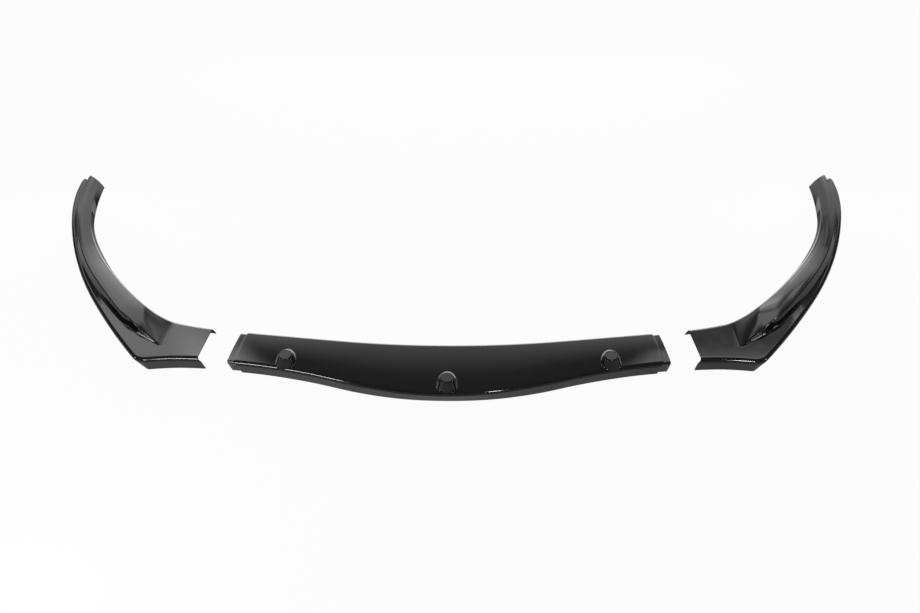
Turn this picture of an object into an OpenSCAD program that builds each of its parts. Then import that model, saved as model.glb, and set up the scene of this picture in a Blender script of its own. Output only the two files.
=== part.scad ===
// Front splitter lip in three moulded pieces: a centre section and two wings.
// The wings lie pulled apart from the centre section, in the order they are fitted.
// X runs across the car, Y towards the rear, Z up. The lower edges lie on Z = 0.

/* [Layout] */
// Distance that each wing is pulled away from the centre section, in mm
pull_apart = 84; // [0:1:200]
// Direction of that pull, turned rearwards from the crosswise line
pull_sweep = 8; // [0:0.5:15]

/* [Sheet] */
// Thickness of the moulded sheet
sheet_t = 3; // [2:0.25:4]
// Height of the blade from its lower edge to its top face
blade_h = 54; // [44:1:70]
// Radius of the rolled front edge
roll_r = 8; // [6:0.5:10]
// Radius of the fold along the rear edge
fold_r = 5; // [4:0.5:7]
// Drop of the flange that is turned down along the rear edge
flange_drop = 16; // [12:1:24]
// Rearward lean of that flange
flange_lean = 4; // [2:0.5:8]
// Height of the crown in the top faces
crown = 2; // [0:0.5:4]

/* [Centre section] */
// Length of the front edge from the middle line to a joint
centre_l = 487; // [440:1:540]
// Depth of the top face on the middle line, from the front edge to the rear fold
centre_depth = 150; // [130:1:170]
// Inward slope of the front skirt at the middle line
skirt_in_middle = 28; // [20:1:34]
// Inward slope of the front skirt at the joints and on the wings
skirt_in = 22; // [14:1:30]
// Shares of that length that the front edge's arcs take, from the middle line to the joint
front_shares = [0.263, 0.275, 0.462]; // [0.1:0.005:0.6]
// Turn of each front arc in degrees, rearwards positive
front_turns = [11.2, 6.5, -10.6]; // [-15:0.1:15]
// Shares of that length that the rear edge's arcs take
rear_shares = [0.248, 0.261, 0.437]; // [0.1:0.005:0.6]
// Turn of each rear arc in degrees, rearwards positive
rear_turns = [3.2, 3.5, 0.4]; // [-5:0.1:8]

/* [Joints] */
// Length of the sunk tab that reaches under each wing
tab_l = 18; // [12:1:30]
// Length over which the surface steps down to the tab
step_l = 3; // [2:0.5:6]
// Gap between the tab and the wing that laps over it
lap_gap = 0.5; // [0.3:0.1:1.5]
// Gap between the end of a wing and the step, when the wing is pushed home
end_gap = 1; // [0.5:0.1:3]
// Amount by which the lower edges of a joint run further inboard
joint_lean = 6; // [0:1:10]

/* [Screw towers] */
// Distance between neighbouring towers
tower_pitch = 360; // [300:5:400]
// Height of a tower's top face above the panel
tower_h = 21; // [16:1:32]
// Diameter of the flat seat on a tower
seat_d = 30; // [24:1:34]
// Height of the seat's raised rim
seat_h = 1.5; // [1:0.5:3]
// Width of a tower at its foot
tower_w = 42; // [40:1:54]
// Length of the rear ramp, from the seat's middle to the foot
ramp_l = 38; // [30:1:60]
// Distance of the middle seat's centre behind the front edge
seat_back_middle = 26; // [22:1:40]
// Distance of an outer seat's centre behind the front edge
seat_back_outer = 22; // [21:1:34]
// Distance of a tower's front wall behind the front edge, at the wall's foot
front_wall_in = 1; // [0.5:0.5:4]
// Depth below the panel to which that wall runs down over the front roll
front_wall_drop = 6; // [4:0.5:7]
// Radius of the fillet round a tower's foot
foot_r = 3; // [2:0.5:6]
// Width of the ledge round the seat, and height of its rounding
neck_ledge = 1; // [0.5:0.5:2]

/* [Wing edges] */
// Length of a wing's outer edge, from the joint to the tip
wing_l = 840; // [760:5:920]
// Shares of that length that the outer arcs take, from the joint to the tip
outer_shares = [0.138, 0.046, 0.131, 0.145, 0.207, 0.166, 0.167]; // [0.04:0.005:0.3]
// Turn of each outer arc in degrees
outer_turns = [-11.5, 59, 3.5, 3.5, 10, 11.5, 22]; // [-20:0.5:70]
// Heading of the wing's outer edge at the joint
outer_heading = 4; // [0:0.5:10]
// Shares of that length that the inner arcs take, from the joint to the tip
inner_shares = [0.157, 0.056, 0.07, 0.079, 0.164, 0.119, 0.14]; // [0.04:0.005:0.3]
// Turn of each inner arc in degrees
inner_turns = [11.5, 23, 4.2, 4.8, 8, 18.5, 14.5]; // [0:0.1:30]
// Heading of the wing's inner edge at the joint
inner_heading = 9.5; // [5:0.5:15]

/* [Wing band] */
// Distance from the outer edge to the ridge, at the joint and at each arc's end
ridge_in = [60, 73, 74, 42, 27, 18, 22, 30]; // [15:1:80]
// Height of the raised band, at the joint and at each arc's end
band_h = [20, 21, 23, 24, 24, 20, 16, 14]; // [8:1:30]
// Outward run of the step wall for each millimetre of its height
wall_run = 0.32; // [0.1:0.02:0.5]
// Radius of the ridge and of the step's foot
ridge_r = 3; // [2:0.5:4]
// Height of the band at which its step's corners have their full radius
full_corner_h = 8; // [5:1:12]
// Height of the wall's foot above the front roll, at the joint and at each arc's end
ledge_lift = [0, 0, 0, 0, 3, 5, 3, 0]; // [0:1:8]
// Distance of the ridge's nose from the joint, along the outer edge
nose_at = 95; // [85:1:110]
// Distance from the outer edge to the nose
nose_in = 43; // [36:1:50]
// Heading of the straight run behind the nose, away from the crosswise line
nose_heading = 38; // [34:1:42]
// Bluntness of the nose, where 1 is a slender one
nose_power = 0.32; // [0.3:0.02:1]
// Length over which the ridge rises to its full height
ridge_ramp = 150; // [90:5:180]
// Distance from the joint at which the band starts to rise at the rear edge
rear_ramp_at = 78; // [70:1:110]
// Length over which it rises there
rear_ramp = 76; // [50:1:120]

/* [Wing tip] */
// Rise of the wing's tip above the floor
tip_rise = 40; // [0:1:60]
// Place along the wing where the rise starts, in arcs
rise_at = 4.5; // [4:0.1:5]
// Length of the rise, in arcs
rise_l = 2.7; // [2.5:0.1:3]
// Further lean of the rear flange, at the joint and at each arc's end
flange_lean_out = [0, 0, 0, 0, 0, 4, 6, 20]; // [0:1:22]
// Place along the wing where the tip's end starts to take its form, in arcs
tip_at = 6.2; // [5.8:0.1:6.5]
// Reach of the tip's rear fold beyond its front edge
tip_bulge = 15; // [5:1:25]
// Shortening of the ledge at the tip
ledge_short = 8; // [0:1:14]
// Further shortening of the front roll at the tip
roll_short = 12; // [0:1:16]
// Shortening of the rear flange's drop at the tip
tip_flange_short = 7; // [0:1:8]
// Inward slope of the skirt at the tip
skirt_in_tip = 29; // [20:1:34]

/* [Smoothness] */
// Steps of the loft along each of the wing's arcs
wing_steps = [10, 9, 6, 5, 6, 6, 8]; // [4:1:14]
// Steps of the loft along each of the centre section's arcs, per side
centre_steps = [6, 6, 8]; // [4:1:14]

/* [Hidden] */

$fn = 48;

front_arcs = centre_l * front_shares;
rear_arcs = centre_l * rear_shares;
outer_arcs = wing_l * outer_shares;
inner_arcs = wing_l * inner_shares;
crest_z = blade_h - roll_r;
joggle = sheet_t + lap_gap;
joint_at = len(front_arcs);
pull = pull_apart * [cos(pull_sweep), sin(pull_sweep)];

// Share of a small radius at which a rounded corner's middle point lies inside the square corner
corner_q = 0.3;
// Arcs over which a joint's lean fades out, on the centre section and on a wing
lean_fade = 0.5;
// Share of the half width over which the centre's skirt takes its slope at the joints
skirt_fade = 0.6;
// Places of the points across the centre section's top face
top_q = [0.25, 0.5, 0.75];
// Angles of the front roll's points, down from its top
roll_angles = [90, 62, 34, 6];
// Least distance between the points of the step where the band is flat
least_step = 0.3;
// Place along the wing where the ridge leaves its straight run, and length of the change, in arcs
ridge_turns_at = 1.9;
ridge_turn = 0.6;
// Places of the points across the band, from the fold to the ridge
band_q = [0.2, 0.45, 0.7, 0.9];
// Places of the points along the ledge, from the foot to the roll
ledge_q = [1 / 3, 2 / 3];

// Edges are chains of arcs. A place on one is [x, y, heading], and t counts its arcs.
function turned(p, length, turn) =
    let (
        chord = turn == 0 ? length : length * sin(turn / 2) / (turn / 2 * PI / 180),
        way = p[2] + turn / 2
    )
    [p[0] + chord * cos(way), p[1] + chord * sin(way), p[2] + turn];

function place(p, arcs, turns, t, k = 0) =
    t <= 1 || k == len(arcs) - 1
        ? turned(p, arcs[k] * t, turns[k] * t)
        : place(turned(p, arcs[k], turns[k]), arcs, turns, t - 1, k + 1);

function along(p) = [cos(p[2]), sin(p[2])];
function inward(p) = [-sin(p[2]), cos(p[2])];
function flat(p) = [p[0], p[1]];
function smooth(q) = let (c = max(0, min(1, q))) c * c * (3 - 2 * c);
function mix(a, b, q) = a + (b - a) * q;
function unit(v) = v / norm(v);

// Smooth curve through a list's entries, one at each arc's end
function eased(list, t) =
    let (
        k = max(0, min(floor(t), len(list) - 2)),
        q = t - k,
        a = list[max(0, k - 1)],
        b = list[k],
        c = list[k + 1],
        d = list[min(len(list) - 1, k + 2)]
    )
    b + q / 2 * (c - a + q * (2 * a - 5 * b + 4 * c - d + q * (3 * b - 3 * c + d - a)));

// Distance along the wing's outer edge from the joint
function travelled(t, k = 0) =
    t <= 1 || k == len(outer_arcs) - 1
        ? outer_arcs[k] * t
        : outer_arcs[k] + travelled(t - 1, k + 1);

// Parameters of the loft's stations, evenly spaced within each arc
function stations(steps) = concat(
    [for (k = [0 : len(steps) - 1]) for (i = [0 : steps[k] - 1]) k + i / steps[k]],
    [len(steps)]
);

// Lower parts of a joint run further inboard than its top
function lean_at(z_below_top) = joint_lean * min(1, z_below_top / (blade_h - crest_z + roll_r));

// Front roll and skirt: outer points from the top of the roll to the lower edge
function roll_and_skirt(c, top, skirt) =
    let (
        in = inward(c),
        middle = flat(c) + in * roll_r,
        slope = atan(skirt / crest_z)
    )
    concat(
        [for (a = concat(roll_angles, [-slope]))
            concat(middle - in * roll_r * cos(a), [top - roll_r + roll_r * sin(a)])],
        [for (q = [0.5, 1])
            concat(flat(c) + in * mix(roll_r * (1 - cos(slope)), skirt, q),
                [mix(top - roll_r - roll_r * sin(slope), top - blade_h, q)])]
    );

// Rear flange and fold: outer points from the flange's lower edge to the top face
function flange_and_fold(a, out, top, lean, drop = flange_drop) = concat(
    [concat(a + out * (lean + fold_r * corner_q), [top - drop])],
    [concat(a + out * fold_r * corner_q, [top - fold_r])],
    [concat(a, [top - fold_r * corner_q])],
    [concat(a - out * fold_r, [top])]
);

// Outer points of the centre section at t, for the half with positive X
function centre_row(t) =
    let (
        a = place([0, 0, 0], rear_arcs, rear_turns, t),
        c = place([0, -centre_depth, 0], front_arcs, front_turns, t),
        roll_top = flat(c) + inward(c) * roll_r,
        out = unit(flat(a) - roll_top),
        fold = flange_and_fold(flat(a), out, blade_h, flange_lean),
        last = flat(fold[3]),
        skirt = mix(skirt_in_middle, skirt_in, smooth(t / (joint_at * skirt_fade))),
        row = concat(
            fold,
            [for (q = top_q)
                concat(mix(last, roll_top, q), [blade_h + crown * 4 * q * (1 - q)])],
            roll_and_skirt(c, blade_h, skirt)
        ),
        near_joint = smooth((t - joint_at + lean_fade) / lean_fade) - smooth((t - joint_at - step_t) / tab_t)
    )
    [for (p = row) p - concat(along(a), [0]) * lean_at(blade_h - p[2]) * near_joint];

// Height of the band above the ledge, from the ridge (q = 0) to the rear edge (q = 1)
function raise(t, q) =
    let (
        start = mix(nose_at, rear_ramp_at, q),
        ramp = mix(ridge_ramp, rear_ramp, q),
        power = mix(nose_power, 1, q)
    )
    eased(band_h, t) * pow(smooth((travelled(t) - start) / ramp), power);

// Edges of the right wing start at the joint, one gap beyond the centre section
rear_joint = place([0, 0, 0], rear_arcs, rear_turns, joint_at);
front_joint = place([0, -centre_depth, 0], front_arcs, front_turns, joint_at);
wing_gap = end_gap * along(rear_joint);
wing_rear = concat(flat(rear_joint) + wing_gap, [inner_heading]);
wing_front = concat(flat(front_joint) + wing_gap, [outer_heading]);

// Point on top of the wing's front roll at t, and the way from there to its rear edge
function roll_top_at(t) =
    let (c = place(wing_front, outer_arcs, outer_turns, t))
    flat(c) + inward(c) * roll_r;
function across(t) = flat(place(wing_rear, inner_arcs, inner_turns, t)) - roll_top_at(t);

// The ridge starts at the nose
nose_t = nose_at / outer_arcs[0];
nose = roll_top_at(nose_t) + unit(across(nose_t)) * (nose_in - roll_r);

// Distance from the front roll to the ridge, which runs straight at first
function ridge_at(t) =
    let (
        way = along([0, 0, nose_heading]),
        start = nose - roll_top_at(t),
        out = unit(across(t)),
        straight = (start[0] * way[1] - start[1] * way[0]) / (out[0] * way[1] - out[1] * way[0]),
        change = smooth((t - ridge_turns_at) / ridge_turn)
    )
    mix(t < nose_t ? nose_in - roll_r : straight, eased(ridge_in, t) - roll_r, change);

// Outer points of the right wing at t, in its place against the joint
function wing_row(t) =
    let (
        wing_a = place(wing_rear, inner_arcs, inner_turns, t),
        c = place(wing_front, outer_arcs, outer_turns, t),
        a = flat(wing_a),
        top = blade_h + tip_rise * smooth((t - rise_at) / rise_l),
        roll_top = roll_top_at(t),
        out = unit(across(t)),
        width = norm(across(t)),
        edge_h = raise(t, 0),
        soft = min(1, edge_h / full_corner_h),
        ridge = ridge_at(t),
        foot = ridge - wall_run * edge_h,
        lift = eased(ledge_lift, t),
        at_tip = smooth((t - tip_at) / (len(outer_arcs) - tip_at)),
        lean = flange_lean + eased(flange_lean_out, t),
        fold = flange_and_fold(a, out, top + raise(t, 1), lean, flange_drop - tip_flange_short * at_tip),
        band = [for (q = band_q)
            let (s = mix(width - fold_r, ridge + ridge_r, q), h = mix(raise(t, 1), edge_h, q))
            concat(roll_top + out * s, [top + h + crown * 4 * q * (1 - q) * soft])],
        step = [for (d = [
                [ridge + ridge_r, edge_h],
                [ridge + ridge_r * corner_q, edge_h - ridge_r * corner_q * soft],
                [ridge - mix(-least_step, wall_run * ridge_r, soft), edge_h - ridge_r * soft],
                [foot + mix(-least_step, wall_run * ridge_r, soft), lift + ridge_r * soft],
                [foot - ridge_r * corner_q, lift + ridge_r * corner_q * soft],
                [foot - ridge_r, lift * (1 - ridge_r / foot)]
            ])
            concat(roll_top + out * d[0], [top + d[1]])],
        ledge = [for (q = ledge_q)
            let (s = (foot - ridge_r) * (1 - q))
            concat(roll_top + out * s, [top + lift * s / foot])],
        skirt = mix(skirt_in, skirt_in_tip, smooth((t - 1) / 3)),
        row = concat(fold, band, step, ledge, roll_and_skirt(c, top, skirt)),
        at_joint = 1 - smooth(t / lean_fade),
        way = along([0, 0, (wing_a[2] + c[2]) / 2])
    )
    [for (p = row)
        let (
            q = (flat(p) - roll_top) * out / width,
            on_ledge = 1 - smooth((q * width - foot) / ridge_r + 0.5),
            on_roll = smooth(-q * width / roll_r),
            tip = tip_bulge * max(0, q) - ledge_short * on_ledge - roll_short * on_roll
        )
        p - concat(along(wing_a), [0]) * lean_at(max(0, top - p[2])) * at_joint
            + concat(way, [0]) * tip * at_tip];

// Outward normal of a grid of points at row i, column j
function grid_normal(g, i, j) =
    let (
        rows = len(g) - 1,
        cols = len(g[0]) - 1,
        down = g[min(rows, i + 1)][j] - g[max(0, i - 1)][j],
        over = g[i][min(cols, j + 1)] - g[i][max(0, j - 1)]
    )
    unit(cross(over, down));

// Closed shell of one wall thickness: sink[i] lowers row i along its normal
module shell(g, sink) {
    rows = len(g);
    cols = len(g[0]);
    normals = [for (i = [0 : rows - 1]) [for (j = [0 : cols - 1]) grid_normal(g, i, j)]];
    outer = [for (i = [0 : rows - 1]) for (j = [0 : cols - 1]) g[i][j] - normals[i][j] * sink[i]];
    inner = [for (i = [0 : rows - 1]) for (j = [0 : cols - 1])
        g[i][j] - normals[i][j] * (sink[i] + sheet_t)];
    n = rows * cols;
    skins = [for (i = [0 : rows - 2]) for (j = [0 : cols - 2])
        let (a = i * cols + j, b = a + 1, c = a + cols, d = c + 1)
        each [[a, d, b], [a, c, d], [n + a, n + b, n + d], [n + a, n + d, n + c]]];
    long_rims = [for (i = [0 : rows - 2]) for (j = [0, cols - 1])
        let (a = i * cols + j, c = a + cols)
        each j == 0
            ? [[a, n + c, c], [a, n + a, n + c]]
            : [[a, c, n + c], [a, n + c, n + a]]];
    end_rims = [for (j = [0 : cols - 2]) for (i = [0, rows - 1])
        let (a = i * cols + j, b = a + 1)
        each i == 0
            ? [[a, b, n + b], [a, n + b, n + a]]
            : [[a, n + b, b], [a, n + a, n + b]]];
    polyhedron(concat(outer, inner), concat(skins, long_rims, end_rims));
}

// Rows of the whole centre section from the left tab to the right tab
tab_t = tab_l / front_arcs[joint_at - 1];
step_t = step_l / front_arcs[joint_at - 1];
half_t = concat(stations(centre_steps), [joint_at + step_t, joint_at + (step_t + tab_t) / 2,
    joint_at + tab_t]);
half_sink = [for (t = half_t) t > joint_at ? joggle : 0];
function mirrored(row) = [for (p = row) [-p[0], p[1], p[2]]];
last = len(half_t) - 1;
centre_grid = concat(
    [for (i = [last : -1 : 1]) mirrored(centre_row(half_t[i]))],
    [for (i = [0 : last]) centre_row(half_t[i])]
);
centre_sink = concat([for (i = [last : -1 : 1]) half_sink[i]], half_sink);

// Rows of a wing from the joint to the tip; those of the first arc crowd towards the nose
wing_t = [for (t = stations(wing_steps)) t < 1 ? sqrt(t) : t];
wing_grid = [for (t = wing_t) wing_row(t)];
wing_sink = [for (t = wing_t) 0];

// The middle of the set's floor box is the origin
y_front = min([for (row = centre_grid) for (p = row) p[1]]);
y_rear = max([for (row = wing_grid) for (p = row) p[1]]) + pull[1];
y_middle = (y_front + y_rear) / 2;

// Outline of a tower at height z: a half ellipse to the rear and a flatter one to the front
function tower_ring(wide, ramp, front, z) =
    [for (a = [0 : 15 : 345])
        [wide * cos(a), sin(a) > 0 ? ramp * sin(a) : front * sin(a), z]];

// Closed form through a stack of outlines
module stacked(rings) {
    n = len(rings[0]);
    m = len(rings);
    sides = [for (i = [0 : m - 2]) for (k = [0 : n - 1])
        let (a = i * n + k, b = i * n + (k + 1) % n, c = a + n, d = b + n)
        each [[a, c, b], [b, c, d]]];
    bottom = [for (k = [0 : n - 1]) k];
    top = [for (k = [n - 1 : -1 : 0]) (m - 1) * n + k];
    polyhedron([for (r = rings) each r], concat(sides, [bottom, top]));
}

// Radius of a tower's neck, which leaves a small ledge round the seat
neck_r = seat_d / 2 + neck_ledge;
// Outlines of a tower: height, share of the foot's fillet to flare by, share of the ramp's length
tower_outlines = [
    [-front_wall_drop, 0, 0.05],
    [-sheet_t / 2, 1, 1],
    [0, 1, 1],
    [foot_r * corner_q, 0.35, 1],
    [foot_r, 0, 1],
    [tower_h - neck_ledge, 0, 1],
    [tower_h, -corner_q, 1]
];

// Reach of a tower to the front at height z, for a seat that lies back from the front edge
function tower_front(back, z) =
    mix(back - front_wall_in, neck_r, (z + front_wall_drop) / (tower_h + front_wall_drop));

// Ramped tower with a fillet round its foot; z = 0 is the panel's top
module tower_form(back) {
    stacked([for (s = tower_outlines)
        let (q = max(0, s[0] / tower_h), flare = s[1] * foot_r)
        tower_ring(
            mix(tower_w / 2, neck_r, q) + flare,
            mix(ramp_l, neck_r, q) * s[2] + flare,
            tower_front(back, s[0]) + flare * corner_q,
            s[0]
        )]);
}

// Hollow of a tower, open at the underside and one wall thickness inside the form
module tower_hollow(back) {
    stacked([for (h = [-front_wall_drop - neck_ledge, 0, tower_h - sheet_t])
        let (q = max(0, (h + sheet_t) / tower_h))
        tower_ring(
            mix(tower_w / 2, neck_r, q) - sheet_t,
            mix(ramp_l, neck_r, q) - sheet_t,
            tower_front(back, h + sheet_t) - sheet_t,
            h
        )]);
}

function seat_back(k) = k == 0 ? seat_back_middle : seat_back_outer;

function tower_place(k) =
    let (
        x = abs(k) * tower_pitch,
        t = place_at(x),
        c = place([0, -centre_depth, 0], front_arcs, front_turns, t)
    )
    [k * tower_pitch, c[1] + seat_back(k)];

// Parameter of the front edge where it is x away from the middle line
function place_at(x, low = 0, high = joint_at, n = 24) =
    n == 0 ? low :
    let (t = (low + high) / 2)
    place([0, -centre_depth, 0], front_arcs, front_turns, t)[0] < x
        ? place_at(x, t, high, n - 1)
        : place_at(x, low, t, n - 1);

module centre_section() {
    color([0.06, 0.06, 0.065])
    translate([0, -y_middle, 0])
    difference() {
        union() {
            shell(centre_grid, centre_sink);
            for (k = [-1, 0, 1])
                translate(concat(tower_place(k), [blade_h])) {
                    tower_form(seat_back(k));
                    cylinder(h = tower_h + seat_h, d = seat_d);
                }
        }
        for (k = [-1, 0, 1])
            translate(concat(tower_place(k), [blade_h]))
            tower_hollow(seat_back(k));
    }
}

module wing() {
    shell(wing_grid, wing_sink);
}

module right_wing() {
    color([0.06, 0.06, 0.065])
    translate([pull[0], pull[1] - y_middle, 0])
    wing();
}

module left_wing() {
    color([0.06, 0.06, 0.065])
    mirror([1, 0, 0])
    translate([pull[0], pull[1] - y_middle, 0])
    wing();
}

centre_section();
left_wing();
right_wing();
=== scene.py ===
# %% [markdown]
# A front splitter lip is a thin plastic blade that screws to the underside of a car's bumper. This one
# comes as three gloss black mouldings: a centre section with three raised towers, and two wings that
# sweep back along the car's corners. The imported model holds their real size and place, so the scene
# starts by loading it.

# %% Load the fixed frame
import math

import bpy
import numpy as np
from mathutils import Matrix, Vector


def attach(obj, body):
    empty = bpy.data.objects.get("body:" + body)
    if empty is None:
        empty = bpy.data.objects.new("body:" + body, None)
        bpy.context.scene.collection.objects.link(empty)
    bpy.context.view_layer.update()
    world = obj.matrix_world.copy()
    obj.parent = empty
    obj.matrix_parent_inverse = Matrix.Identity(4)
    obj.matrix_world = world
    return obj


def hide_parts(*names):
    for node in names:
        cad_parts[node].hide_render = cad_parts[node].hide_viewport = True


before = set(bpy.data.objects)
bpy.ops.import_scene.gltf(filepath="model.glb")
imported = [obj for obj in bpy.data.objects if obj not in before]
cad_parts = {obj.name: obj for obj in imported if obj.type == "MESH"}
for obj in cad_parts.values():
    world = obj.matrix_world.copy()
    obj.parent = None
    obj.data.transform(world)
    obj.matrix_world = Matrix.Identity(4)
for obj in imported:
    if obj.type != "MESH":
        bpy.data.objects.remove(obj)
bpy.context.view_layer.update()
print("nodes:", sorted(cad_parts))

# %% [markdown]
# Mouldings like these are drawn as sections that are swept along two edges, and each edge is a chain of
# arcs. The sizes below are the ones that the part is made to. They are in millimetres, and only the
# finished vertices are turned to metres.

# %% Sizes of the mouldings
MM = 0.001

pull_apart = 84
pull_sweep = 8

sheet_t = 3
blade_h = 54
roll_r = 8
fold_r = 5
flange_drop = 16
flange_lean = 4
crown = 2

centre_l = 487
centre_depth = 150
skirt_in_middle = 28
skirt_in = 22
front_shares = [0.263, 0.275, 0.462]
front_turns = [11.2, 6.5, -10.6]
rear_shares = [0.248, 0.261, 0.437]
rear_turns = [3.2, 3.5, 0.4]

tab_l = 18
step_l = 3
lap_gap = 0.5
end_gap = 1
joint_lean = 6

wing_l = 840
outer_shares = [0.138, 0.046, 0.131, 0.145, 0.207, 0.166, 0.167]
outer_turns = [-11.5, 59, 3.5, 3.5, 10, 11.5, 22]
outer_heading = 4
inner_shares = [0.157, 0.056, 0.07, 0.079, 0.164, 0.119, 0.14]
inner_turns = [11.5, 23, 4.2, 4.8, 8, 18.5, 14.5]
inner_heading = 9.5

ridge_in = [60, 73, 74, 42, 27, 18, 22, 30]
band_h = [20, 21, 23, 24, 24, 20, 16, 14]
wall_run = 0.32
ridge_r = 3
nose_at = 95
nose_in = 43
nose_heading = 38
ridge_turns_at = 1.9
ridge_turn = 0.6
nose_power = 0.32
ridge_ramp = 150
rear_ramp_at = 78
rear_ramp = 76
full_corner_h = 8
ledge_lift = [0, 0, 0, 0, 3, 5, 3, 0]
tip_rise = 40
rise_at = 4.5
rise_l = 2.7
flange_lean_out = [0, 0, 0, 0, 0, 4, 6, 20]
tip_at = 6.2
tip_bulge = 15
ledge_short = 8
roll_short = 12
tip_flange_short = 7
skirt_in_tip = 29
corner_q = 0.3
lean_fade = 0.5
skirt_fade = 0.6

front_arcs = [centre_l * share for share in front_shares]
rear_arcs = [centre_l * share for share in rear_shares]
outer_arcs = [wing_l * share for share in outer_shares]
inner_arcs = [wing_l * share for share in inner_shares]
joint_at = len(front_arcs)
joggle = sheet_t + lap_gap
crest_z = blade_h - roll_r
pull = pull_apart * np.array([math.cos(math.radians(pull_sweep)), math.sin(math.radians(pull_sweep))])
print("width of the joined lip's centre section:", round(2 * sum(front_arcs)), "mm along its front edge")

# %% [markdown]
# An edge is followed arc by arc. A place on it is a point and a heading, and the parameter t counts arcs,
# so t = 2.5 is the middle of the third arc. Arcs join with the same heading, which keeps reflections from
# breaking where they meet. The same small helpers that ease values from one arc to the next serve every
# section.

# %% Arcs and easing
def smooth(q):
    q = min(1, max(0, q))
    return q * q * (3 - 2 * q)


def mix(a, b, q):
    return a + (b - a) * q


def eased(values, t):
    """Smooth curve through a value at each arc's end."""
    k = max(0, min(int(math.floor(t)), len(values) - 2))
    q = t - k
    a, b, c = values[max(0, k - 1)], values[k], values[k + 1]
    d = values[min(len(values) - 1, k + 2)]
    return b + q / 2 * (c - a + q * (2 * a - 5 * b + 4 * c - d + q * (3 * b - 3 * c + d - a)))


def direction(heading):
    return np.array([math.cos(math.radians(heading)), math.sin(math.radians(heading))])


def place(start, heading, arcs, turns, t):
    point = np.array(start, float)
    for k, (length, turn) in enumerate(zip(arcs, turns)):
        share = t - k if k == len(arcs) - 1 else min(1, t - k)
        if share <= 0:
            break
        turned = turn * share
        half = math.radians(turned / 2)
        chord = length * share * (math.sin(half) / half if half else 1)
        point = point + chord * direction(heading + turned / 2)
        heading += turned
    return point, heading


def inward(heading):
    return direction(heading + 90)


def on_front_edge(t):
    return place([0, -centre_depth], 0, front_arcs, front_turns, t)


def on_rear_edge(t):
    return place([0, 0], 0, rear_arcs, rear_turns, t)


print("front edge at the joint:", on_front_edge(joint_at)[0].round(1))

# %% [markdown]
# A section is drawn as straight runs between corners, and moulded corners are never sharp: the melt would
# not fill them and the tool could not let go. Each corner becomes a short curve that leaves one run and
# meets the next. A run keeps the same number of points in every section, so that neighbouring sections
# can be joined into faces.

# %% Rounded corners and runs
CORNER_STEPS = 7


def round_corner(before, corner, after, reach_in, reach_out):
    """Curve from reach_in before the corner to reach_out after it."""
    to_before = (before - corner) / np.linalg.norm(before - corner)
    to_after = (after - corner) / np.linalg.norm(after - corner)
    first = corner + to_before * reach_in
    last = corner + to_after * reach_out
    points = []
    for q in np.linspace(0, 1, CORNER_STEPS):
        points.append((1 - q) ** 2 * first + 2 * q * (1 - q) * corner + q**2 * last)
    return points


def run(first, last, count):
    """Points strictly between first and last."""
    return [mix(first, last, (i + 1) / (count + 1)) for i in range(count)]


print("points to a rounded corner:", CORNER_STEPS)

# %% [markdown]
# Both kinds of piece end in the same front edge: the top rolls over an 8 mm radius and runs down into a
# skirt that slopes back underneath. From above, the roll catches thin lines of light and the skirt
# mirrors the floor.

# %% Front roll and skirt
ROLL_STEPS = 12
SKIRT_STEPS = 6


def roll_and_skirt(edge, heading, top, skirt):
    into = inward(heading)
    slope = math.atan(skirt / crest_z)
    centre = edge + into * roll_r
    points = []
    for a in np.linspace(math.pi / 2, -slope, ROLL_STEPS):
        flat = centre - into * roll_r * math.cos(a)
        points.append([*flat, top - roll_r + roll_r * math.sin(a)])
    start = np.array(points[-1])
    end = np.array([*(edge + into * skirt), top - blade_h])
    for q in np.linspace(0, 1, SKIRT_STEPS + 1)[1:]:
        points.append(mix(start, end, q))
    return points


def lean_at(below_top):
    return joint_lean * min(1, below_top / (2 * roll_r))


print("points in the roll and its skirt:", ROLL_STEPS + SKIRT_STEPS)

# %% [markdown]
# Across its rear edge the sheet folds down into a short flange, which stiffens it and hides behind the
# bumper. The centre section is that fold, a top face with a slight crown, and the roll with its skirt.

# %% Section of the centre section
TOP_STEPS = 34


def rear_corners(width, lean, height, drop=flange_drop):
    """Flange's lower edge and fold corner, as (distance from the front roll, height above the top)."""
    lower = np.array([width + lean + fold_r * corner_q, height - drop])
    corner = np.array([width + fold_r * corner_q, height])
    return lower, corner


def centre_row(t):
    rear, rear_heading = on_rear_edge(t)
    edge, heading = on_front_edge(t)
    roll_top = edge + inward(heading) * roll_r
    width = np.linalg.norm(rear - roll_top)
    out = (rear - roll_top) / width
    lower, corner = rear_corners(width, flange_lean, 0)
    front = np.array([0.0, 0.0])
    fold = round_corner(lower, corner, front, fold_r, fold_r * (1 + corner_q))
    profile = [lower] + run(lower, fold[0], 3) + fold
    for q in np.linspace(0, 1, TOP_STEPS + 2)[1:-1]:
        profile.append(mix(fold[-1], front, q) + [0, crown * 4 * q * (1 - q)])
    row = [[*(roll_top + out * s), blade_h + z] for s, z in profile]
    skirt = mix(skirt_in_middle, skirt_in, smooth(t / (joint_at * skirt_fade)))
    row = np.array(row + roll_and_skirt(edge, heading, blade_h, skirt))
    tab = (t - joint_at - step_t) / tab_t
    near_joint = smooth((t - joint_at + lean_fade) / lean_fade) - smooth(tab)
    along = np.array([*direction(rear_heading), 0])
    lean = np.array([lean_at(blade_h - z) for z in row[:, 2]])
    return row - lean[:, None] * near_joint * along


tab_t = tab_l / front_arcs[-1]
step_t = step_l / front_arcs[-1]
print("points in a centre section's row:", len(centre_row(0)))

# %% [markdown]
# The wing's section has one feature more. Its rear part is a raised band, and a short steep wall drops
# from the band's ridge to a flat ledge. Near the joint there is no band at all: the wall grows out of the
# flat front panel as a nose, quickly at the ridge and gently at the rear. Towards the tip the ledge
# narrows and the whole section climbs, and the end is cut at a slant with a rounded outer corner.

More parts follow.
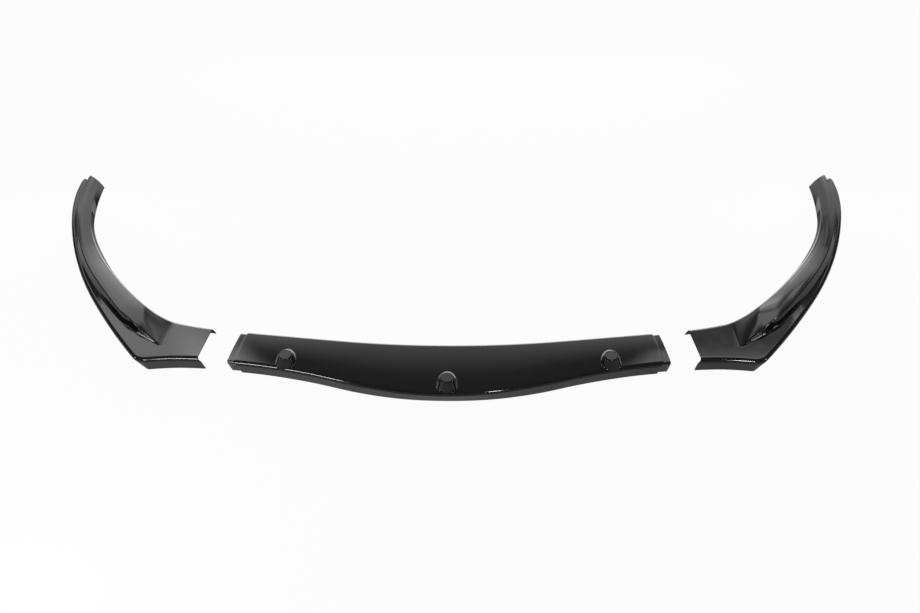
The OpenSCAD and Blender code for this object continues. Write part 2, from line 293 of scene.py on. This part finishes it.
# %% Section of a wing
BAND_STEPS = 24
WALL_STEPS = 3
LEDGE_STEPS = 8
LEAST_WALL = 0.4


def travelled(t):
    """Distance along the outer edge from the joint."""
    k = max(0, min(int(math.floor(t)), len(outer_arcs) - 1))
    return sum(outer_arcs[:k]) + outer_arcs[k] * (t - k)


def raise_at(t, q):
    """Height of the band above the ledge, at the ridge (q = 0) or at the rear edge (q = 1)."""
    start = mix(nose_at, rear_ramp_at, q)
    ramp = mix(ridge_ramp, rear_ramp, q)
    power = mix(nose_power, 1, q)
    return eased(band_h, t) * smooth((travelled(t) - start) / ramp) ** power


def row_line(t):
    """Start on top of the front roll, direction, width and headings of the row at t."""
    rear_joint, joint_heading = on_rear_edge(joint_at)
    front_joint, _ = on_front_edge(joint_at)
    gap = end_gap * direction(joint_heading)
    rear, rear_heading = place(rear_joint + gap, inner_heading, inner_arcs, inner_turns, t)
    edge, heading = place(front_joint + gap, outer_heading, outer_arcs, outer_turns, t)
    roll_top = edge + inward(heading) * roll_r
    width = np.linalg.norm(rear - roll_top)
    return edge, roll_top, (rear - roll_top) / width, width, rear_heading, heading


nose_t = nose_at / outer_arcs[0]
_, nose_roll, nose_out, _, _, _ = row_line(nose_t)
nose = nose_roll + nose_out * (nose_in - roll_r)


def ridge_at(t):
    """Distance from the roll to the ridge, which runs straight from the nose at first."""
    _, roll_top, out, _, _, _ = row_line(t)
    way = direction(nose_heading)
    start = nose - roll_top
    straight = (start[0] * way[1] - start[1] * way[0]) / (out[0] * way[1] - out[1] * way[0])
    straight = nose_in - roll_r if t < nose_t else straight
    return mix(straight, eased(ridge_in, t) - roll_r, smooth((t - ridge_turns_at) / ridge_turn))


def wing_row(t):
    edge, roll_top, out, width, rear_heading, heading = row_line(t)
    top = blade_h + tip_rise * smooth((t - rise_at) / rise_l)

    edge_h = raise_at(t, 0)
    soft = min(1, edge_h / full_corner_h)
    at_tip = smooth((t - tip_at) / (len(outer_arcs) - tip_at))
    lean = flange_lean + eased(flange_lean_out, t)
    lower, corner = rear_corners(width, lean, raise_at(t, 1), flange_drop - tip_flange_short * at_tip)
    ridge = np.array([ridge_at(t), edge_h])
    foot = np.array([ridge[0] - wall_run * edge_h - LEAST_WALL, eased(ledge_lift, t)])
    front = np.array([0.0, 0.0])
    on_wall = min(ridge_r, 0.45 * np.linalg.norm(ridge - foot))

    fold = round_corner(lower, corner, ridge, fold_r, fold_r * (1 + corner_q))
    brow = round_corner(corner, ridge, foot, ridge_r, on_wall)
    heel = round_corner(ridge, foot, front, on_wall, ridge_r)
    profile = [lower] + run(lower, fold[0], 3) + fold
    for q in np.linspace(0, 1, BAND_STEPS + 2)[1:-1]:
        s = mix(fold[-1][0], brow[0][0], q)
        z = mix(fold[-1][1], brow[0][1], q)
        height = mix(raise_at(t, 1), edge_h, q)
        flatness = smooth(q * 4) * smooth((1 - q) * 4)
        profile.append([s, mix(z, height, flatness) + crown * 4 * q * (1 - q) * soft])
    profile += brow + run(brow[-1], heel[0], WALL_STEPS) + heel + run(heel[-1], front, LEDGE_STEPS)
    row = [[*(roll_top + out * s), top + z] for s, z in profile]
    skirt = mix(skirt_in, skirt_in_tip, smooth((t - 1) / 3))
    row = np.array(row + roll_and_skirt(edge, heading, top, skirt))

    at_joint = 1 - smooth(t / lean_fade)
    along = np.array([*direction(rear_heading), 0])
    way = np.array([*direction((rear_heading + heading) / 2), 0])
    shares = (row[:, :2] - roll_top) @ out / width
    on_ledge = 1 - np.array([smooth((s * width - foot[0]) / ridge_r + 0.5) for s in shares])
    on_roll = np.array([smooth(-s * width / roll_r) for s in shares])
    tip = tip_bulge * np.maximum(0, shares) - ledge_short * on_ledge - roll_short * on_roll
    lean = np.array([lean_at(max(0, top - z)) for z in row[:, 2]])
    return row - lean[:, None] * at_joint * along + tip[:, None] * at_tip * way


print("points in a wing's row:", len(wing_row(0)))

# %% [markdown]
# A grid of section points is one skin of the moulding. The other skin lies one wall thickness behind it,
# and the trimmed edge between them is softened by a strip of rounded rim. The mesh carries its own
# normals, worked out from the grid: on gloss black, the eye sees nothing but reflections, and averaged
# normals would smear them at each edge.

# %% Shell of two skins and a rounded rim
RIM_STEPS = 5
rim_round = 0.8


def unit(v):
    length = np.linalg.norm(v, axis=-1, keepdims=True)
    return v / np.maximum(length, 1e-9)


def grid_normals(grid):
    down = np.gradient(grid, axis=0)
    over = np.gradient(grid, axis=1)
    return unit(np.cross(over, down))


def boundary(rows, cols):
    """Indices of a grid's border, once round."""
    top = [(0, j) for j in range(cols)]
    right = [(i, cols - 1) for i in range(1, rows)]
    bottom = [(rows - 1, j) for j in range(cols - 2, -1, -1)]
    left = [(i, 0) for i in range(rows - 2, 0, -1)]
    return top + right + bottom + left


def shell(grid, keep=None):
    """Vertices, faces, normals and finish numbers of a shell. Finish 0 is the gloss skin and 1 the rest."""
    rows, cols = grid.shape[:2]
    normals = grid_normals(grid)
    loop = boundary(rows, cols)
    path = np.array([grid[i, j] for i, j in loop])
    facing = np.array([normals[i, j] for i, j in loop])
    tangent = unit(np.roll(path, -1, axis=0) - np.roll(path, 1, axis=0))
    away = unit(np.cross(tangent, facing))
    inner = grid - normals * sheet_t
    outer = grid.copy()
    for n, (i, j) in enumerate(loop):
        outer[i, j] -= away[n] * rim_round
        inner[i, j] -= away[n] * rim_round
    points = [outer.reshape(-1, 3), inner.reshape(-1, 3)]
    shading = [normals.reshape(-1, 3), -normals.reshape(-1, 3)]
    for a in np.linspace(0, math.pi, RIM_STEPS)[1:-1]:
        swell = rim_round * (math.sin(a) - 1)
        points.append(path - facing * sheet_t * (1 - math.cos(a)) / 2 + away * swell)
        shading.append(unit(facing * math.cos(a) + away * math.sin(a)))
    faces = []
    finish = []
    count = rows * cols
    for i in range(rows - 1):
        for j in range(cols - 1):
            if keep is not None and not keep[i, j]:
                continue
            a = i * cols + j
            c = a + cols
            faces.append([a, a + 1, c + 1, c])
            faces.append([count + a, count + c, count + c + 1, count + a + 1])
            finish += [0, 1]
    size = len(loop)
    flat = [i * cols + j for i, j in loop]
    rings = [flat]
    for k in range(RIM_STEPS - 2):
        rings.append([2 * count + k * size + n for n in range(size)])
    rings.append([count + n for n in flat])
    for low, high in zip(rings, rings[1:]):
        for n in range(size):
            m = (n + 1) % size
            faces.append([low[n], high[n], high[m], low[m]])
            finish.append(0)
    return np.vstack(points), faces, np.vstack(shading), finish


def join_parts(parts):
    """Puts several sets of vertices, faces, normals and finishes into one."""
    points, faces, normals, finish = [], [], [], []
    start = 0
    for p, f, n, m in parts:
        points.append(p)
        normals.append(n)
        faces += [[v + start for v in face] for face in f]
        finish += m
        start += len(p)
    return np.vstack(points), faces, np.vstack(normals), finish


def mesh_object(name, parts):
    points, faces, normals, finish = join_parts(parts)
    mesh = bpy.data.meshes.new(name)
    mesh.from_pydata((points * MM).tolist(), [], faces)
    mesh.polygons.foreach_set("use_smooth", [True] * len(faces))
    mesh.polygons.foreach_set("material_index", finish)
    mesh.normals_split_custom_set_from_vertices(normals.tolist())
    mesh.update()
    obj = bpy.data.objects.new(name, mesh)
    bpy.context.scene.collection.objects.link(obj)
    print(name, "has", len(points), "vertices and", len(faces), "faces")
    return obj


# %% [markdown]
# The set lies round the middle of its floor box, so one shift places all three pieces. The wings'
# stations crowd together in the short arc at the corner, where the edge turns most.

# %% Grids of the three pieces
CENTRE_STATIONS = [26, 27, 45]
WING_STATIONS = [26, 22, 20, 20, 24, 22, 30]
STEP_STATIONS = 6
TAB_STATIONS = 6


def stations(counts):
    values = [k + i / n for k, n in enumerate(counts) for i in range(n)]
    return values + [len(counts)]


half = stations(CENTRE_STATIONS)
half += [joint_at + step_t * (i + 1) / STEP_STATIONS for i in range(STEP_STATIONS)]
half += [joint_at + step_t + (tab_t - step_t) * (i + 1) / TAB_STATIONS for i in range(TAB_STATIONS)]
half_rows = np.array([centre_row(t) for t in half])
mirrored_rows = (half_rows * [-1, 1, 1])[:0:-1]
centre_grid = np.concatenate([mirrored_rows, half_rows])
half_sink = np.array([joggle * smooth((t - joint_at) / step_t) for t in half])
centre_sink = np.concatenate([half_sink[:0:-1], half_sink])
centre_grid = centre_grid - grid_normals(centre_grid) * centre_sink[:, None, None]
wing_grid = np.array([wing_row(t) for t in stations(WING_STATIONS)])

y_front = centre_grid[..., 1].min()
y_rear = wing_grid[..., 1].max() + pull[1]
y_middle = (y_front + y_rear) / 2
centre_grid[..., 1] -= y_middle
wing_grid = wing_grid + [pull[0], pull[1] - y_middle, 0]
print("shift of the set:", round(y_middle, 2), "mm")

# %% [markdown]
# A tower lifts its flat round seat up to the bumper's underside. It is hollow from below, to keep the
# wall even. Its front wall runs down over the front roll, and a long ramp runs down to the rear. Rings
# are the natural way to build it: each ring is an outline at one height, and the lowest ones lie on the
# panel to make the fillet. The seat is duller than the rest, so its skin is a set of rings of its own
# that takes the satin finish.

# %% Raised towers
tower_pitch = 360
tower_h = 21
seat_d = 30
seat_h = 1.5
seat_edge = 0.5
seat_rim = 1.5
tower_w = 42
ramp_l = 38
seat_back_middle = 26
seat_back_outer = 22
front_wall_in = 1
front_wall_drop = 6
foot_r = 3
neck_ledge = 1
neck_r = seat_d / 2 + neck_ledge
# A foot sinks this far into the panel, so that no gap shows. A disc ends in a ring a hair wide, not in a point.
foot_sink = 0.05
hair = 0.01
hollow_collar = 6
RING_STEPS = 96
FRONT_POWER = 3.2


def front_parameter(x):
    low, high = 0.0, float(joint_at)
    for _ in range(30):
        t = (low + high) / 2
        if on_front_edge(t)[0][0] < x:
            low = t
        else:
            high = t
    return low


def panel_height(x, y):
    """Height of the top face or the roll at a place behind the front edge."""
    t = front_parameter(abs(x))
    edge, heading = on_front_edge(t)
    rear, _ = on_rear_edge(t)
    back = (y + y_middle - edge[1]) * math.cos(math.radians(heading))
    if back < roll_r:
        return crest_z + math.sqrt(max(0, roll_r**2 - (roll_r - back) ** 2))
    q = (back - roll_r) / (rear[1] - edge[1] - roll_r)
    return blade_h + crown * 4 * q * (1 - q)


def outline(wide, ramp, front, squareness=2):
    """Ring round a tower: half an ellipse to the rear, a flatter curve with rounded corners to the front."""
    points = []
    for a in np.linspace(0, 2 * math.pi, RING_STEPS, endpoint=False):
        c, s = math.cos(a), math.sin(a)
        power = 2 if s > 0 else squareness
        x = wide * math.copysign(abs(c) ** (2 / power), c)
        y = (ramp if s > 0 else front) * math.copysign(abs(s) ** (2 / power), s)
        points.append([x, y])
    return np.array(points)


def ring_skin(rings, finish_number, flip):
    """Closed strips between rings, with normals from their grid."""
    grid = np.array(rings)
    count, size = grid.shape[:2]
    down = np.gradient(grid, axis=0)
    over = np.roll(grid, -1, axis=1) - np.roll(grid, 1, axis=1)
    normals = unit(np.cross(over, down))
    if flip:
        normals = -normals
    faces = []
    for i in range(count - 1):
        for j in range(size):
            a = i * size + j
            b = i * size + (j + 1) % size
            face = [a, b, b + size, a + size]
            faces.append(face[::-1] if flip else face)
    return grid.reshape(-1, 3), faces, normals.reshape(-1, 3), [finish_number] * len(faces)


def tower_front(back, h):
    """Reach of a tower to the front at height h, for a seat that lies back from the front edge."""
    return mix(back - front_wall_in, neck_r, min(1, (h + front_wall_drop) / (tower_h + front_wall_drop)))


def tower(x, y, back):
    """Outer and inner skins of one tower with its seat's centre at x, y."""
    outer = []
    levels = [(0, 1.0, 0)]
    for a in np.linspace(0, math.pi / 2, 7)[1:]:
        levels.append((foot_r * (1 - math.cos(a)), 1 - math.sin(a), 0))
    for h in np.linspace(foot_r, tower_h - neck_ledge, 8)[1:]:
        levels.append((h, 0, 0))
    for a in np.linspace(0, math.pi / 2, 5)[1:]:
        levels.append((tower_h - neck_ledge + neck_ledge * math.sin(a), 0, neck_ledge * (1 - math.cos(a))))
    for h, flare, draw_in in levels:
        q = h / tower_h
        ring = outline(
            mix(tower_w / 2, neck_r, q) + flare * foot_r - draw_in,
            mix(ramp_l, neck_r, q) + flare * foot_r - draw_in,
            tower_front(back, h) + flare * foot_r * corner_q - draw_in,
            mix(FRONT_POWER, 2, q),
        )
        settle = min(1, h / foot_r)
        heights = [mix(panel_height(x + p[0], y + p[1]) - foot_sink, blade_h, settle) + h for p in ring]
        outer.append([[x + p[0], y + p[1], z] for p, z in zip(ring, heights)])
    top = blade_h + tower_h
    angles = np.linspace(0, 2 * math.pi, RING_STEPS, endpoint=False)
    seat = [(seat_d / 2, 0), (seat_d / 2, seat_h - seat_edge)]
    for a in np.linspace(0, math.pi / 2, 5)[1:]:
        seat.append((seat_d / 2 - seat_edge * (1 - math.cos(a)), seat_h - seat_edge * (1 - math.sin(a))))
    seat += [(seat_d / 2 - seat_rim, seat_h), (seat_d / 4, seat_h), (hair, seat_h)]
    for radius, h in seat:
        outer.append([[x + radius * math.cos(a), y + radius * math.sin(a), top + h] for a in angles])
    inner = []
    hollow = [
        (-sheet_t - foot_sink, hollow_collar),
        (-sheet_t - foot_sink, 1),
        (-sheet_t + 0.3, 0.3),
        (0, 0),
        (tower_h - sheet_t, 0),
    ]
    for h, grow in hollow:
        q = max(0, (h + sheet_t) / tower_h)
        ring = outline(
            mix(tower_w / 2, neck_r, q) - sheet_t + grow,
            mix(ramp_l, neck_r, q) - sheet_t + grow,
            tower_front(back, h + sheet_t) - sheet_t + min(grow, 2),
        )
        settle = min(1, max(0, (h + sheet_t) / foot_r))
        inner.append(
            [[x + p[0], y + p[1], mix(panel_height(x + p[0], y + p[1]), blade_h, settle) + h] for p in ring]
        )
    ceiling = np.array(inner[-1])
    middle = np.array([x, y, ceiling[0, 2]])
    for q in (0.15, 0.999):
        inner.append(mix(ceiling, middle, q))
    return [ring_skin(outer[:-2], 0, False), ring_skin(outer[-3:], 1, False), ring_skin(inner, 1, True)]


def tower_place(k):
    back = seat_back_outer if k else seat_back_middle
    edge, _ = on_front_edge(front_parameter(abs(k) * tower_pitch))
    return k * tower_pitch, edge[1] + back - y_middle, back


def in_hollow(x, y):
    """True over the hole that a tower's hollow makes in the panel."""
    for k in (-1, 0, 1):
        cx, cy, back = tower_place(k)
        dx, dy = x - cx, y - cy
        wide = tower_w / 2 - sheet_t
        deep = ramp_l - sheet_t if dy > 0 else tower_front(back, 0) - sheet_t
        if (dx / wide) ** 2 + (dy / deep) ** 2 < 1:
            return True
    return False


def kept_faces(grid):
    """Marks the grid's faces that don't reach over a hollow."""
    rows, cols = grid.shape[:2]
    inside = np.zeros((rows, cols), bool)
    for i in range(rows):
        if min(abs(abs(grid[i, 0, 0]) - k * tower_pitch) for k in (0, 1)) > tower_w:
            continue
        for j in range(cols):
            x, y, z = grid[i, j]
            inside[i, j] = z > crest_z and in_hollow(x, y)
    touched = inside[:-1, :-1] | inside[1:, :-1] | inside[:-1, 1:] | inside[1:, 1:]
    return ~touched


towers = [skin for k in (-1, 0, 1) for skin in tower(*tower_place(k))]
print("seats at:", [tuple(round(v, 1) for v in tower_place(k)) for k in (-1, 0, 1)])

# %% [markdown]
# Now the three pieces are made. The left wing is the right one mirrored, as the real pair is, so its
# faces are turned round to keep facing outwards.

# %% Centre section and wings
def mirrored(part):
    points, faces, normals, finish = part
    flip = np.array([-1, 1, 1])
    return points * flip, [face[::-1] for face in faces], normals * flip, finish


centre_piece = mesh_object("centre_moulding", [shell(centre_grid, kept_faces(centre_grid))] + towers)
wing_shell = shell(wing_grid)
right_piece = mesh_object("right_wing_moulding", [wing_shell])
left_piece = mesh_object("left_wing_moulding", [mirrored(wing_shell)])
pieces = {"centre_section": centre_piece, "right_wing": right_piece, "left_wing": left_piece}
for node, piece in pieces.items():
    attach(piece, "root")
    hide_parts(node)
print("nodes that the pieces stand for:", sorted(pieces))

# %% [markdown]
# A material is a small tree of nodes. Three helpers serve them all: one turns a written colour into the
# linear value that a shader wants, one adds a node, and one turns a real size into the scale of a noise.

# %% Colours and nodes
def srgb(code):
    """Linear colour of an sRGB hex value."""
    channels = [int(code[i : i + 2], 16) / 255 for i in (1, 3, 5)]
    return [c / 12.92 if c <= 0.04045 else ((c + 0.055) / 1.055) ** 2.4 for c in channels] + [1]


def add(tree, kind, settings=None, links=None, **attributes):
    """Adds a node, sets its attributes and input values, and links its inputs to other nodes' outputs."""
    node = tree.nodes.new(kind)
    for name, value in attributes.items():
        setattr(node, name, value)
    for name, value in (settings or {}).items():
        node.inputs[name].default_value = value
    for name, socket in (links or {}).items():
        tree.links.new(socket, node.inputs[name])
    return node


def per_mm(size):
    """Noise scale, per metre, of features that are size millimetres across."""
    return 1 / (size * MM)


print("the gloss black in linear values:", [round(c, 4) for c in srgb("#0c0c0d")[:3]])

# %% [markdown]
# The finish is gloss black ABS, straight from a polished mould. The pigment is all through the plastic,
# so there is almost no colour to see, only reflections. Three things keep it from looking like a mirror:
# the skin has a faint orange peel, a few millimetres across, the sheet waves slightly where it shrank as
# it cooled, and a patchy haze of handling changes its roughness a little. ABS has an index of refraction
# of about 1.54.

# %% Gloss black ABS, moulded against polished steel
def gloss_black_abs():
    material = bpy.data.materials.new("gloss_black_abs")
    material.use_nodes = True
    tree = material.node_tree
    tree.nodes.clear()
    where = add(tree, "ShaderNodeTexCoord").outputs["Object"]
    peel = add(tree, "ShaderNodeTexNoise", {"Scale": per_mm(4), "Detail": 2}, {"Vector": where})
    wave = add(tree, "ShaderNodeTexNoise", {"Scale": per_mm(60), "Detail": 1}, {"Vector": where})
    peel_bump = add(
        tree, "ShaderNodeBump", {"Strength": 0.12, "Distance": 0.05 * MM}, {"Height": peel.outputs["Fac"]}
    )
    wave_bump = add(
        tree,
        "ShaderNodeBump",
        {"Strength": 0.3, "Distance": 0.4 * MM},
        {"Height": wave.outputs["Fac"], "Normal": peel_bump.outputs["Normal"]},
    )
    haze = add(tree, "ShaderNodeTexNoise", {"Scale": per_mm(25), "Detail": 4}, {"Vector": where})
    roughness = add(
        tree,
        "ShaderNodeMapRange",
        {"From Min": 0.3, "From Max": 0.7, "To Min": 0.07, "To Max": 0.13},
        {"Value": haze.outputs["Fac"]},
    )
    shader = add(
        tree,
        "ShaderNodeBsdfPrincipled",
        {"Base Color": srgb("#0c0c0d"), "IOR": 1.54},
        {"Roughness": roughness.outputs["Result"], "Normal": wave_bump.outputs["Normal"]},
    )
    add(tree, "ShaderNodeOutputMaterial", links={"Surface": shader.outputs["BSDF"]})
    return material


gloss = gloss_black_abs()
print("finish:", gloss.name)

# %% [markdown]
# The back of the sheet was formed against a mould half that nobody polished, and the seats on the towers
# are as dull. It is the same black plastic with a fine spark-eroded grain, so light spreads over it
# softly. Such a grain is finer than the render can show, so it is drawn 0.8 mm across.

# %% Satin black ABS, moulded against eroded steel
def satin_black_abs():
    material = bpy.data.materials.new("satin_black_abs")
    material.use_nodes = True
    tree = material.node_tree
    tree.nodes.clear()
    where = add(tree, "ShaderNodeTexCoord").outputs["Object"]
    grain = add(tree, "ShaderNodeTexNoise", {"Scale": per_mm(0.8), "Detail": 3}, {"Vector": where})
    bump = add(
        tree, "ShaderNodeBump", {"Strength": 0.35, "Distance": 0.05 * MM}, {"Height": grain.outputs["Fac"]}
    )
    shader = add(
        tree,
        "ShaderNodeBsdfPrincipled",
        {"Base Color": srgb("#121213"), "IOR": 1.54, "Roughness": 0.45},
        {"Normal": bump.outputs["Normal"]},
    )
    add(tree, "ShaderNodeOutputMaterial", links={"Surface": shader.outputs["BSDF"]})
    return material


satin = satin_black_abs()
for piece in pieces.values():
    piece.data.materials.append(gloss)
    piece.data.materials.append(satin)
print("finishes on each piece:", [m.name for m in centre_piece.data.materials])

# %% [markdown]
# The set lies on a white studio floor. To the lamps it is plain pale paint. To the camera almost all of
# its brightness is a steady glow, which keeps it near white and leaves a trace of the shadow. Gloss
# reflections see a tenth of that glow: the skirts look down on floor that lies in their own shadow, and a
# white one would turn them pale.

# %% Floor
FLOOR_SIZE = 24
GLOW_TO_CAMERA = 0.96
GLOW_TO_GLOSS = 0.1


def white_floor():
    material = bpy.data.materials.new("white_floor")
    material.use_nodes = True
    tree = material.node_tree
    tree.nodes.clear()
    ray = add(tree, "ShaderNodeLightPath")
    clear = add(
        tree,
        "ShaderNodeMath",
        None,
        {0: ray.outputs["Is Camera Ray"], 1: ray.outputs["Is Transmission Ray"]},
        operation="MAXIMUM",
    )
    clear = add(tree, "ShaderNodeMath", {1: GLOW_TO_CAMERA}, {0: clear.outputs[0]}, operation="MULTIPLY")
    share = add(
        tree,
        "ShaderNodeMath",
        {1: GLOW_TO_GLOSS},
        {0: ray.outputs["Is Glossy Ray"], 2: clear.outputs[0]},
        operation="MULTIPLY_ADD",
    )
    paint = add(tree, "ShaderNodeBsdfDiffuse", {"Color": srgb("#cfcfcf")})
    glow = add(tree, "ShaderNodeEmission", {"Color": srgb("#ffffff"), "Strength": 1.0})
    both = add(
        tree,
        "ShaderNodeMixShader",
        None,
        {0: share.outputs[0], 1: paint.outputs[0], 2: glow.outputs[0]},
    )
    add(tree, "ShaderNodeOutputMaterial", links={"Surface": both.outputs[0]})
    return material


bpy.ops.mesh.primitive_plane_add(size=FLOOR_SIZE)
floor = bpy.context.object
floor.name = "floor"
floor.data.materials.append(white_floor())
print("floor:", FLOOR_SIZE, "m across")

# %% [markdown]
# Gloss black shows the room, so the room is part of the look. It is dim overhead and in front, which
# makes the rolled edges black. Behind the set it is bright near the floor and fades with height, which
# gives the centre section's top its slow gradient. The camera itself sees a plain pale backdrop there, so
# that no view from the side or from behind has a dark horizon.

# %% Room
def studio_world():
    world = bpy.data.worlds.new("studio")
    bpy.context.scene.world = world
    world.use_nodes = True
    tree = world.node_tree
    tree.nodes.clear()
    way = add(tree, "ShaderNodeTexCoord").outputs["Generated"]
    axes = add(tree, "ShaderNodeSeparateXYZ", None, {0: way})
    room = add(
        tree,
        "ShaderNodeMapRange",
        {"From Min": 0.0, "From Max": 0.7, "To Min": 0.04, "To Max": 0.2},
        {"Value": axes.outputs["Z"]},
    )
    low = add(
        tree,
        "ShaderNodeMapRange",
        {"From Min": 0.3, "From Max": 0.74, "To Min": 2.0, "To Max": 0.0},
        {"Value": axes.outputs["Z"]},
    )
    horizon = add(
        tree,
        "ShaderNodeMapRange",
        {"From Min": 0.1, "From Max": 0.35, "To Min": 2.0, "To Max": 0.0},
        {"Value": axes.outputs["Z"]},
        interpolation_type="SMOOTHSTEP",
    )
    low = add(tree, "ShaderNodeMath", None, {0: low.outputs[0], 1: horizon.outputs[0]}, operation="ADD")
    aside = add(tree, "ShaderNodeMath", None, {0: axes.outputs["X"]}, operation="ABSOLUTE")
    middle = add(
        tree,
        "ShaderNodeMapRange",
        {"From Min": 0.35, "From Max": 0.55, "To Min": 1.0, "To Max": 0.0},
        {"Value": aside.outputs[0]},
        interpolation_type="SMOOTHSTEP",
    )
    behind = add(tree, "ShaderNodeMath", {1: 0.0}, {0: axes.outputs["Y"]}, operation="GREATER_THAN")
    glow = add(tree, "ShaderNodeMath", None, {0: low.outputs[0], 1: middle.outputs[0]}, operation="MULTIPLY")
    glow = add(tree, "ShaderNodeMath", None, {0: glow.outputs[0], 1: behind.outputs[0]}, operation="MULTIPLY")
    strength = add(tree, "ShaderNodeMath", None, {0: room.outputs[0], 1: glow.outputs[0]}, operation="ADD")
    light = add(tree, "ShaderNodeBackground", {"Color": srgb("#ffffff")}, {"Strength": strength.outputs[0]})
    backdrop = add(tree, "ShaderNodeBackground", {"Color": srgb("#fbfbfb"), "Strength": 1.0})
    ray = add(tree, "ShaderNodeLightPath")
    sky = add(
        tree,
        "ShaderNodeMixShader",
        None,
        {0: ray.outputs["Is Camera Ray"], 1: light.outputs[0], 2: backdrop.outputs[0]},
    )
    add(tree, "ShaderNodeOutputWorld", links={"Surface": sky.outputs[0]})


studio_world()
print("room:", bpy.context.scene.world.name)

# %% [markdown]
# Each wing has its own soft panels behind it, half a metre behind the middle of the set, and their swept
# tops turn mid grey. The panels fade towards their borders, as a lamp behind cloth does, so that the
# gloss shows no hard edge. The right wing has a gap between two panels, and a slit in it draws a soft
# streak over the ledge. A wide panel stands low behind the whole set, and two small fills lighten the
# foot of each raised band. Narrow strips in front draw the thin white lines along the rolled edges, and
# two low lamps at the sides light the noses of the ridges.

# %% Lights
def fade_borders(lamp, edge):
    """Dims an area light towards its borders, over the share edge of its sides."""
    lamp.use_nodes = True
    tree = lamp.node_tree
    place_on_lamp = add(tree, "ShaderNodeNewGeometry").outputs["Parametric"]
    sides = add(tree, "ShaderNodeSeparateXYZ", None, {0: place_on_lamp})
    fades = []
    for axis in ("X", "Y"):
        away = add(tree, "ShaderNodeMath", {1: 0.5}, {0: sides.outputs[axis]}, operation="PINGPONG")
        fade = add(
            tree,
            "ShaderNodeMapRange",
            {"From Max": edge},
            {"Value": away.outputs[0]},
            interpolation_type="SMOOTHSTEP",
        )
        fades.append(fade.outputs[0])
    both = add(tree, "ShaderNodeMath", None, {0: fades[0], 1: fades[1]}, operation="MULTIPLY")
    tree.links.new(both.outputs[0], tree.nodes["Emission"].inputs["Strength"])


def soft_light(name, place_m, size_m, brightness, aim_m=None, edge=0.0):
    """A rectangular lamp that faces the front unless it is aimed. Brightness 1 is that of white paper."""
    lamp = bpy.data.lights.new(name, "AREA")
    lamp.shape = "RECTANGLE"
    lamp.size, lamp.size_y = size_m
    lamp.energy = math.pi * size_m[0] * size_m[1] * brightness
    if edge:
        fade_borders(lamp, edge)
    obj = bpy.data.objects.new(name, lamp)
    obj.location = place_m
    way = Vector(aim_m) - Vector(place_m) if aim_m else Vector((0, -1, 0))
    obj.rotation_euler = way.to_track_quat("-Z", "Y").to_euler()
    obj.visible_camera = False
    bpy.context.scene.collection.objects.link(obj)


soft_light("back_panel", (0, 1.2, 0.45), (1.8, 0.6), 2.0)
soft_light("left_panel", (-1.03, 0.5, 0.84), (0.84, 1.7), 1.8, edge=0.25)
soft_light("left_fill", (-0.6, 0.0, 0.35), (0.24, 0.36), 1.3, edge=0.4)
soft_light("right_fill", (0.742, 0.0, 0.17), (0.1, 0.1), 1.7, edge=0.3)
soft_light("right_high_panel", (0.83, 0.5, 1.11), (0.6, 0.8), 1.8, edge=0.2)
soft_light("right_low_panel", (1.0, 0.5, 0.345), (0.9, 0.57), 1.2, edge=0.2)
soft_light("right_slit", (1.085, 0.5, 0.675), (0.17, 0.17), 1.7)
soft_light("left_strip", (-0.84, -1.0, 0.35), (0.22, 0.12), 32, (-0.6, -0.25, 0))
soft_light("right_strip", (0.75, -2.6, 1.0), (0.22, 0.3), 60, (0.7, -0.2, 0))
soft_light("left_lamp", (-2.6, -0.7, 0.5), (0.3, 0.3), 22, (0, -0.3, 0))
soft_light("right_lamp", (2.6, -0.7, 0.5), (0.3, 0.3), 22, (0, -0.3, 0))

# %% [markdown]
# The camera stands about three metres in front of the set and looks down on it at 42 degrees. Its place
# comes from the outlines of the three pieces, which together fit best from this point of view.

# %% Camera
view_down = 42
view_yaw = -2.13
view_roll = -1.32
view_distance = 3143
view_target = [20.6, 190 - y_middle, 0]
focal_px = 1320
frame_px = 920
sensor_mm = 36


def camera_axes():
    yaw, down, roll = (math.radians(v) for v in (view_yaw, view_down, view_roll))
    forward = Vector((math.sin(yaw) * math.cos(down), math.cos(yaw) * math.cos(down), -math.sin(down)))
    right = Vector((math.cos(yaw), -math.sin(yaw), 0))
    up = right.cross(forward)
    return (
        right * math.cos(roll) + up * math.sin(roll),
        up * math.cos(roll) - right * math.sin(roll),
        forward,
    )


right, up, forward = camera_axes()
lens = bpy.data.cameras.new("camera")
lens.sensor_width = sensor_mm
lens.lens = sensor_mm * focal_px / frame_px
camera = bpy.data.objects.new("camera", lens)
turn = Matrix((right, up, -forward)).transposed().to_4x4()
camera.matrix_world = Matrix.Translation((Vector(view_target) - forward * view_distance) * MM) @ turn
bpy.context.scene.collection.objects.link(camera)
bpy.context.scene.camera = camera
bpy.context.scene.view_settings.view_transform = "Standard"
print("camera at", [round(v, 2) for v in camera.location], "with a lens of", round(lens.lens, 1), "mm")
